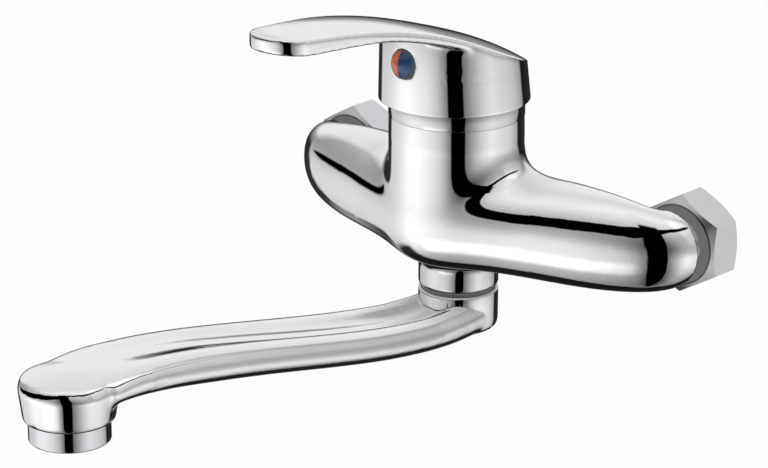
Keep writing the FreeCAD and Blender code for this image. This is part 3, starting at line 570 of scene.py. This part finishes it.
tapBody = startCasting("tapBody")
markPlaces(tapBody, "join", bodyJoinWeight)
smooth(tapBody, bodyJoin["rounds"], "join")
markPlaces(tapBody, "rims", bodyRimWeight)
smooth(tapBody, bodyRims["rounds"], "rims")
turnTrue(tapBody, "column")
turnTrue(tapBody, "neck")
endCasting(tapBody, "tapBody")


# The lever is softened where its sides run into the cap and along the cap's foot, but not
# round the seat of the index
leverJoin = {"foot": {"at": 0.0429, "half": 0.0025, "weight": 1}, "sideFrom": 0.058, "sideFade": 0.006,
             "tipWeight": 0.4, "tip": -0.1, "tipFade": 0.012, "rounds": 60}
indexSeat = {"y": -0.066, "radius": 0.0085, "z": 0.0645, "half": 0.01, "frontOf": -0.055}


def leverJoinWeight(x, y, z):
    inSeat = math.hypot(x, y - indexSeat["y"]) < indexSeat["radius"] and y < indexSeat["frontOf"]
    if inSeat and abs(z - indexSeat["z"]) < indexSeat["half"]:
        return 0
    rise = clip((z - leverJoin["sideFrom"]) / leverJoin["sideFade"])
    along = leverJoin["tipWeight"] + max(0, (y - leverJoin["tip"]) / leverJoin["tipFade"])
    return max(nearTo(z, leverJoin["foot"]), rise * min(1, along))


leverCasting = startCasting("leverCasting")
markPlaces(leverCasting, "join", leverJoinWeight)
smooth(leverCasting, leverJoin["rounds"], "join")
turnTrue(leverCasting, "cap")
endCasting(leverCasting, "leverCasting")


# Trim ring between the column and the lever: a turned band whose lip hides the column's edge
trimRing = {"middle": (0, axes["column"]), "radius": 0.0234, "low": 0.0371, "high": 0.0426,
            "inner": 0.0217, "edge": 0.00025, "sides": 160, "sharp": 35}


def makeTrimRing():
    low, high = trimRing["low"], trimRing["high"]
    bpy.ops.object.select_all(action="DESELECT")
    bpy.ops.mesh.primitive_cylinder_add(
        vertices=trimRing["sides"], radius=trimRing["radius"], depth=high - low,
        end_fill_type="NOTHING", location=(*trimRing["middle"], (low + high) / 2))
    piece = bpy.context.object
    piece.name = "trimRing"
    bpy.ops.object.transform_apply(location=True)
    applyModifier(piece, "SOLIDIFY", thickness=trimRing["radius"] - trimRing["inner"], offset=-1)
    applyModifier(piece, "BEVEL", width=trimRing["edge"], segments=3, limit_method="ANGLE")
    selectOnly(piece)
    bpy.ops.object.shade_smooth_by_angle(angle=math.radians(trimRing["sharp"]))
    piece.data.materials.append(finish["softChrome"])
    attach(piece, "fixed_body")
    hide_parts("collar_ring")
    piece.visible_glossy = False


makeTrimRing()
print("trim ring made")


# Temperature index: a dark bezel round a glossy dome that is red on the left and blue on the right
index = {"middle": (0, -0.0683, 0.0601), "tilt": 8, "split": -0.0007, "gap": 0.00010,
         "sides": 96, "rings": 14, "flat": 0.9, "level": 0.000001, "sharp": 40}
indexParts = [
    {"name": "indexBezel", "node": "index_plug", "slot": "plug_plastic", "coat": "blackPlastic",
     "radius": 0.0051, "low": -0.0030, "high": 0.0003, "dome": 0, "side": 0},
    {"name": "indexRedHalf", "node": "index_red", "slot": "index_red", "coat": "redEnamel",
     "radius": 0.0045, "low": 0.0002, "high": 0.0006, "dome": 0.0014, "side": -1},
    {"name": "indexBlueHalf", "node": "index_blue", "slot": "index_blue", "coat": "blueEnamel",
     "radius": 0.0045, "low": 0.0002, "high": 0.0006, "dome": 0.0014, "side": 1},
]


def makeIndexPart(sheet):
    # a short upright cylinder whose upper face is domed
    low, high, radius = sheet["low"], sheet["high"], sheet["radius"]
    bpy.ops.object.select_all(action="DESELECT")
    bpy.ops.mesh.primitive_cylinder_add(vertices=index["sides"], radius=radius, depth=high - low,
                                        location=(0, 0, (low + high) / 2))
    piece = bpy.context.object
    piece.name = sheet["name"]
    bpy.ops.object.transform_apply(location=True)
    bpy.ops.object.mode_set(mode="EDIT")
    bpy.ops.mesh.select_all(action="DESELECT")
    bpy.ops.object.mode_set(mode="OBJECT")
    for face in piece.data.polygons:
        face.select = face.normal.z > index["flat"]
    bpy.ops.object.mode_set(mode="EDIT")
    for ring in range(index["rings"]):
        bpy.ops.mesh.inset(thickness=radius / (index["rings"] + 1))
    bpy.ops.object.mode_set(mode="OBJECT")
    for point in piece.data.vertices:
        if point.co.z > high - index["level"]:
            point.co.z += sheet["dome"] * (1 - (math.hypot(point.co.x, point.co.y) / radius) ** 2)
    piece.data.materials.append(finish[sheet["coat"]])
    return piece


def keepSide(piece, side):
    # cuts away what lies on the other side of the split between the colours
    selectOnly(piece)
    bpy.ops.object.mode_set(mode="EDIT")
    bpy.ops.mesh.select_all(action="SELECT")
    bpy.ops.mesh.bisect(plane_co=(index["split"] + side * index["gap"], 0, 0), plane_no=(1, 0, 0),
                        use_fill=True, clear_inner=side > 0, clear_outer=side < 0)
    bpy.ops.object.mode_set(mode="OBJECT")


def seatIndexPart(piece, node):
    # turned so that its face looks out of the cap, and moved to the cap's front
    piece.rotation_euler = (math.radians(90 - index["tilt"]), 0, 0)
    piece.location = index["middle"]
    selectOnly(piece)
    bpy.ops.object.transform_apply(location=True, rotation=True)
    bpy.ops.object.mode_set(mode="EDIT")
    bpy.ops.mesh.select_all(action="SELECT")
    bpy.ops.mesh.normals_make_consistent(inside=False)
    bpy.ops.object.mode_set(mode="OBJECT")
    bpy.ops.object.shade_smooth_by_angle(angle=math.radians(index["sharp"]))
    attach(piece, "lever")
    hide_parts(node)
    piece.visible_glossy = False


for sheet in indexParts:
    piece = makeIndexPart(sheet)
    if sheet["side"]:
        keepSide(piece, sheet["side"])
    seatIndexPart(piece, sheet["node"])
print("index made")


# The outlet's rim leans in towards its top, more on the near side, and its top is crowned
outlet = {"within": 0.026, "leanFrom": -0.0096, "lean": 0.45, "nearLean": 0.36, "nearFrom": 35,
          "nearFade": 30, "frontFrom": 0.016, "frontFade": 0.018, "crown": 0.012, "least": 0.0001}


def shapeOutlet(piece):
    for point in piece.data.vertices:
        x, z, along = point.co.x, point.co.z, point.co.y - axes["outlet"]
        reach = math.hypot(x, along)
        if reach > outlet["within"] or z < outlet["leanFrom"]:
            continue
        front = clip((outlet["frontFrom"] - along) / outlet["frontFade"])
        front = front * front * (3 - 2 * front)
        turn = math.degrees(math.atan2(x, -along))
        near = clip((turn - outlet["nearFrom"]) / outlet["nearFade"])
        lean = outlet["lean"] + outlet["nearLean"] * near
        inwards = lean * (z - outlet["leanFrom"]) * front * min(1, reach / outlet["crown"])
        share = max(0, reach - inwards) / max(reach, outlet["least"])
        point.co.x = x * share
        point.co.y = axes["outlet"] + along * share


# The spout is softened on the outlet's upper rim and where the arm runs into the collar
cupRims = {"within": 0.026, "inner": 0.011, "innerFade": 0.003, "low": -0.022, "lowFade": 0.006,
           "frontWeight": 0.8, "rearFrom": 0.004, "rearFade": 0.01}
collarRims = {"inner": 0.0105, "outer": 0.034, "fade": 0.008, "below": -0.034}
coves = {"place": (0.0155, -0.2155, -0.0085), "reach": 0.010, "weight": 1.2}
spoutRounds = {"rims": 40, "cove": 36}


def spoutRimWeight(x, y, z):
    along = y - axes["outlet"]
    reach = math.hypot(x, along)
    if reach < cupRims["within"]:
        weight = max(cupRims["frontWeight"], clip((along - cupRims["rearFrom"]) / cupRims["rearFade"]))
        outwards = clip((reach - cupRims["inner"]) / cupRims["innerFade"])
        return weight * outwards * clip((z - cupRims["low"]) / cupRims["lowFade"])
    reach = math.hypot(x, y - axes["swivel"])
    if collarRims["inner"] < reach < collarRims["outer"] and z < collarRims["below"]:
        return clip((collarRims["outer"] - reach) / collarRims["fade"])
    return 0


def coveWeight(x, y, z):
    # 1 in the coves where the arm's sides run out of the outlet
    return coves["weight"] - math.dist((abs(x), y, z), coves["place"]) / coves["reach"]


shoulder = {"step": 0.002, "from": 0.50, "to": 0.70, "deep": 0.0075, "fade": 0.003, "rounds": 220,
            "root": -0.056, "tip": -0.204, "ends": 0.010}


def roundShoulders(piece):
    # rounds the arm's two long edges, so that they mirror the studio as the real ones do
    tops, halves = {}, {}
    for point in piece.data.vertices:
        station = round(point.co.y / shoulder["step"])
        tops[station] = max(tops.get(station, -1), point.co.z)
        halves[station] = max(halves.get(station, 0), abs(point.co.x))

    def weightAt(x, y, z):
        station = round(y / shoulder["step"])
        across = (abs(x) / halves[station] - shoulder["from"]) / (shoulder["to"] - shoulder["from"])
        down = (shoulder["deep"] - tops[station] + z) / shoulder["fade"]
        along = min(shoulder["root"] - y, y - shoulder["tip"]) / shoulder["ends"]
        return clip(min(across, down, along))

    markPlaces(piece, "shoulders", weightAt)
    smooth(piece, shoulder["rounds"], "shoulders")


spoutCasting = startCasting("spoutCasting")
roundShoulders(spoutCasting)
markPlaces(spoutCasting, "rims", spoutRimWeight)
turnTrue(spoutCasting, "cup")
turnTrue(spoutCasting, "collar")
shapeOutlet(spoutCasting)
smooth(spoutCasting, spoutRounds["rims"], "rims")
markPlaces(spoutCasting, "cove", coveWeight)
smooth(spoutCasting, spoutRounds["cove"], "cove")
endCasting(spoutCasting, "spoutCasting")


# Floor
floor = {"height": -0.11, "size": 9.0, "dark": (0.97, 0.97, 0.97), "light": (0.985, 0.985, 0.985),
         "grain": 3, "rough": 0.9, "glow": 0.85}
bpy.ops.mesh.primitive_plane_add(size=floor["size"], location=(0, 0, floor["height"]))
ground = bpy.context.object
ground.name = "studio_floor"
material, tree, shader, place = startMaterial("floorPaper")
paper = colourBetween(tree, noise(tree, place, floor["grain"]), floor["dark"], floor["light"])
plug(tree, paper, shader.inputs["Base Color"])
shader.inputs["Roughness"].default_value = floor["rough"]
glow = addNode(tree, "ShaderNodeEmission")
glow.inputs["Color"].default_value = (1, 1, 1, 1)
seen = addNode(tree, "ShaderNodeLightPath").outputs["Is Camera Ray"]
share = maths(tree, "MULTIPLY", seen, floor["glow"])
blend = mixShaders(tree, share, shader.outputs[0], glow.outputs[0])
plug(tree, blend, tree.nodes["Material Output"].inputs["Surface"])
ground.data.materials.append(material)
ground.visible_glossy = False
print("floor laid")
